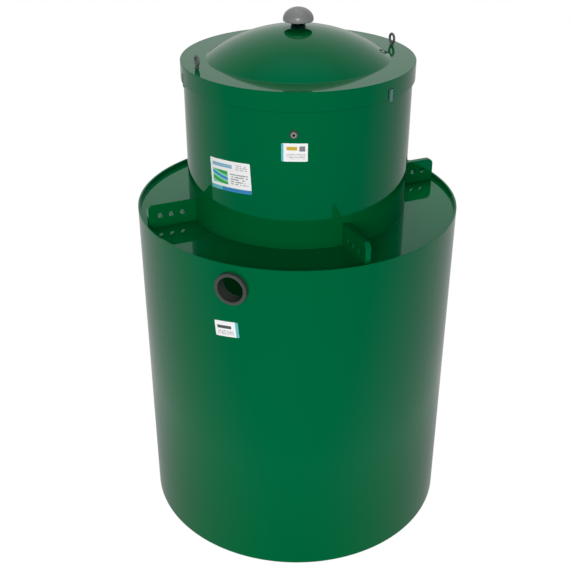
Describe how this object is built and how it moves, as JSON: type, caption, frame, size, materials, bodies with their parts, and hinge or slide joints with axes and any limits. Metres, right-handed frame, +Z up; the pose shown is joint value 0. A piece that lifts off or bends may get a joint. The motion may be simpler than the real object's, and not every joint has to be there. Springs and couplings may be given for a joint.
{
  "type": "septic tank",
  "caption": "Round upright plastic waste water tank with an access neck, a lift-off domed lid with a vent, lifting lugs on its deck, and sealed pipe ports.",
  "frame": {"origin": "centre of the tank's round underside, on its upright axis", "axes": "+Z up along the tank's axis; the four lifting lugs lie on +X, +Y, -X and -Y, the inlet halfway between -X and -Y, and the outlet opposite it"},
  "size_m": [1.2, 1.2, 2.0086],
  "materials": {
    "green_plastic": "glossy green polypropylene sheet",
    "grey_plastic": "satin mid grey moulded plastic",
    "black_plastic": "satin black moulded plastic",
    "seal_rubber": "dark grey sealing rubber",
    "plain_steel": "plain steel",
    "label_film": "white printed film"
  },
  "bodies": {
    "tank": {"tank_wall": "green_plastic", "base_plate": "green_plastic", "deck_plate": "green_plastic", "neck_wall": "green_plastic", "lifting_lug_1": "green_plastic", "lifting_lug_2": "green_plastic", "lifting_lug_3": "green_plastic", "lifting_lug_4": "green_plastic", "inlet_pipe": "grey_plastic", "inlet_seal": "seal_rubber", "outlet_pipe": "grey_plastic", "outlet_seal": "seal_rubber", "gland_washer": "black_plastic", "gland_body": "plain_steel", "gland_locknut": "black_plastic", "label_neck_large": "label_film", "label_neck_small": "label_film", "label_tank_wall": "label_film", "lid_key_1": "plain_steel", "lid_key_2": "plain_steel", "lid_key_3": "plain_steel"},
    "lid": {"lid_plate": "green_plastic", "lid_skirt": "green_plastic", "lid_dome": "green_plastic", "vent_stem": "black_plastic", "vent_cap": "grey_plastic", "lid_eye_bolt_1": "plain_steel", "lid_eye_bolt_2": "plain_steel", "lid_eye_nut_1": "plain_steel", "lid_eye_nut_2": "plain_steel"}
  },
  "joints": [
    {"name": "lid_lift", "type": "slide", "parent": "tank", "child": "lid", "axis": [0, 0, 1], "range_m": [0, 0.25]}
  ]
}
